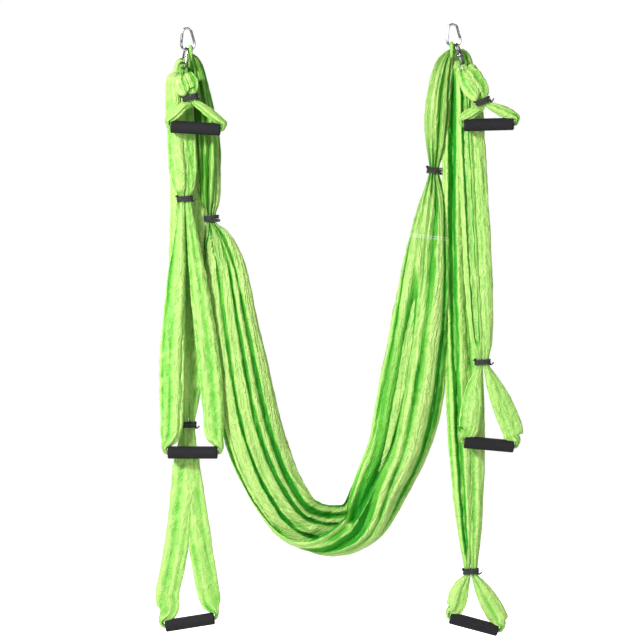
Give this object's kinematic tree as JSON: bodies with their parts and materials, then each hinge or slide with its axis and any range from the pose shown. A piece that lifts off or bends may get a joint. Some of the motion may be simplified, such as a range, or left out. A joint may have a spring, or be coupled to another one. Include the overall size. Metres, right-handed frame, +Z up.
{
  "type": "aerial hammock",
  "caption": "Hanging yoga hammock of pleated nylon cloth gathered into a U between spring-gate snap hooks, with short, medium and long cloth slings ending in foam grips.",
  "frame": {"origin": "left hanging point, where the inside of the left main hook's top bow bears on its anchor", "axes": "+X to the right hanging point, +Y to the back, +Z up"},
  "size_m": [0.866, 0.1396, 1.4744],
  "materials": {
    "green_nylon": "bright lime-green crinkled nylon taffeta with a soft sheen",
    "black_elastic": "black braided elastic cord",
    "black_foam": "matte charcoal closed-cell foam with fine pores",
    "zinc_plated_steel": "bright zinc-plated bent wire"
  },
  "bodies": {
    "anchored_hooks": {"main_hook_left_body": "zinc_plated_steel", "main_hook_left_rivet": "zinc_plated_steel", "main_hook_right_body": "zinc_plated_steel", "main_hook_right_rivet": "zinc_plated_steel"},
    "main_gate_left": {"main_hook_left_gate": "zinc_plated_steel", "main_hook_left_plunger": "zinc_plated_steel", "main_hook_left_spring": "zinc_plated_steel"},
    "main_gate_right": {"main_hook_right_gate": "zinc_plated_steel", "main_hook_right_plunger": "zinc_plated_steel", "main_hook_right_spring": "zinc_plated_steel"},
    "hammock": {"hammock_cloth": "green_nylon", "hammock_tie_left": "black_elastic", "hammock_tie_right": "black_elastic"},
    "second_hook_left": {"second_hook_left_body": "zinc_plated_steel", "second_hook_left_rivet": "zinc_plated_steel"},
    "second_hook_right": {"second_hook_right_body": "zinc_plated_steel", "second_hook_right_rivet": "zinc_plated_steel"},
    "second_gate_left": {"second_hook_left_gate": "zinc_plated_steel", "second_hook_left_plunger": "zinc_plated_steel", "second_hook_left_spring": "zinc_plated_steel"},
    "second_gate_right": {"second_hook_right_gate": "zinc_plated_steel", "second_hook_right_plunger": "zinc_plated_steel", "second_hook_right_spring": "zinc_plated_steel"},
    "short_sling_left": {"left_short_sling": "green_nylon", "left_short_tie": "black_elastic"},
    "medium_sling_left": {"left_medium_sling": "green_nylon", "left_medium_tie": "black_elastic"},
    "long_sling_left": {"left_long_sling": "green_nylon", "left_long_tie": "black_elastic"},
    "short_sling_right": {"right_short_sling": "green_nylon", "right_short_tie": "black_elastic"},
    "medium_sling_right": {"right_medium_sling": "green_nylon", "right_medium_tie": "black_elastic"},
    "long_sling_right": {"right_long_sling": "green_nylon", "right_long_tie": "black_elastic"},
    "short_grip_left": {"left_short_grip": "black_foam"},
    "medium_grip_left": {"left_medium_grip": "black_foam"},
    "long_grip_left": {"left_long_grip": "black_foam"},
    "short_grip_right": {"right_short_grip": "black_foam"},
    "medium_grip_right": {"right_medium_grip": "black_foam"},
    "long_grip_right": {"right_long_grip": "black_foam"}
  },
  "joints": [
    {"name": "hammock_swing", "type": "hinge", "parent": "anchored_hooks", "child": "hammock", "pos_m": [0.01049, 0, -0.04916], "axis": [0.9999, 0, 0.0137], "range_deg": [-30, 30]},
    {"name": "second_hook_left_swing", "type": "hinge", "parent": "anchored_hooks", "child": "second_hook_left", "pos_m": [0.00298, 0, -0.0506], "axis": [0.9999, 0, 0.0137], "range_deg": [-30, 30]},
    {"name": "second_hook_right_swing", "type": "hinge", "parent": "anchored_hooks", "child": "second_hook_right", "pos_m": [0.64437, 0, -0.04071], "axis": [0.9999, 0, 0.0137], "range_deg": [-30, 30]},
    {"name": "main_gate_left_hinge", "type": "hinge", "parent": "anchored_hooks", "child": "main_gate_left", "pos_m": [-0.01207, 0, -0.0278], "axis": [0, 1, 0], "range_deg": [0, 25], "stiffness_Nm_per_rad": 0.1, "springref_deg": -20.05},
    {"name": "main_gate_right_hinge", "type": "hinge", "parent": "anchored_hooks", "child": "main_gate_right", "pos_m": [0.65523, 0, -0.01564], "axis": [0, -1, 0], "range_deg": [0, 25], "stiffness_Nm_per_rad": 0.1, "springref_deg": -20.05},
    {"name": "second_gate_left_hinge", "type": "hinge", "parent": "second_hook_left", "child": "second_gate_left", "pos_m": [-0.00061, -0.01416, -0.07412], "axis": [-0.938, -0.3048, 0.1654], "range_deg": [0, 25], "stiffness_Nm_per_rad": 0.1, "springref_deg": -20.05},
    {"name": "second_gate_right_hinge", "type": "hinge", "parent": "second_hook_right", "child": "second_gate_right", "pos_m": [0.65337, -0.01422, -0.06308], "axis": [-0.8987, 0.292, -0.3271], "range_deg": [0, 25], "stiffness_Nm_per_rad": 0.1, "springref_deg": -20.05},
    {"name": "short_sling_left_pull", "type": "hinge", "parent": "second_hook_left", "child": "short_sling_left", "pos_m": [-0.00704, -0.00476, -0.09329], "axis": [0, 1, 0], "range_deg": [0, 30]},
    {"name": "medium_sling_left_pull", "type": "hinge", "parent": "second_hook_left", "child": "medium_sling_left", "pos_m": [-0.00992, 0.00429, -0.09295], "axis": [0, 1, 0], "range_deg": [0, 20]},
    {"name": "long_sling_left_pull", "type": "hinge", "parent": "second_hook_left", "child": "long_sling_left", "pos_m": [0.0058, 0, -0.05066], "axis": [0, 1, 0], "range_deg": [0, 5]},
    {"name": "short_sling_right_pull", "type": "hinge", "parent": "second_hook_right", "child": "short_sling_right", "pos_m": [0.66291, -0.00478, -0.08088], "axis": [0, -1, 0], "range_deg": [0, 30]},
    {"name": "medium_sling_right_pull", "type": "hinge", "parent": "second_hook_right", "child": "medium_sling_right", "pos_m": [0.66557, 0.0043, -0.08008], "axis": [0, -1, 0], "range_deg": [0, 20]},
    {"name": "long_sling_right_pull", "type": "hinge", "parent": "second_hook_right", "child": "long_sling_right", "pos_m": [0.64161, 0, -0.04125], "axis": [0, -1, 0], "range_deg": [0, 5]},
    {"name": "short_grip_left_turn", "type": "hinge", "parent": "short_sling_left", "child": "short_grip_left", "pos_m": [0.02296, -0.036, -0.23829], "axis": [0.9981, 0, -0.061], "continuous": true},
    {"name": "medium_grip_left_turn", "type": "hinge", "parent": "medium_sling_left", "child": "medium_grip_left", "pos_m": [0.01508, -0.008, -1.01495], "axis": [1, 0, 0], "continuous": true},
    {"name": "long_grip_left_turn", "type": "hinge", "parent": "long_sling_left", "child": "long_grip_left", "pos_m": [0.0068, 0.031, -1.42466], "axis": [0.9877, 0, 0.1564], "continuous": true},
    {"name": "short_grip_right_turn", "type": "hinge", "parent": "short_sling_right", "child": "short_grip_right", "pos_m": [0.72391, -0.036, -0.22988], "axis": [0.9997, 0, 0.0262], "continuous": true},
    {"name": "medium_grip_right_turn", "type": "hinge", "parent": "medium_sling_right", "child": "medium_grip_right", "pos_m": [0.72557, -0.008, -0.99508], "axis": [0.9962, 0, -0.0872], "continuous": true},
    {"name": "long_grip_right_turn", "type": "hinge", "parent": "long_sling_right", "child": "long_grip_right", "pos_m": [0.69161, 0.031, -1.42925], "axis": [0.9659, 0, -0.2588], "continuous": true}
  ],
  "couplings": [
    {"joint": "second_hook_left_swing", "follows": "hammock_swing", "ratio": 1},
    {"joint": "second_hook_right_swing", "follows": "hammock_swing", "ratio": 1}
  ]
}
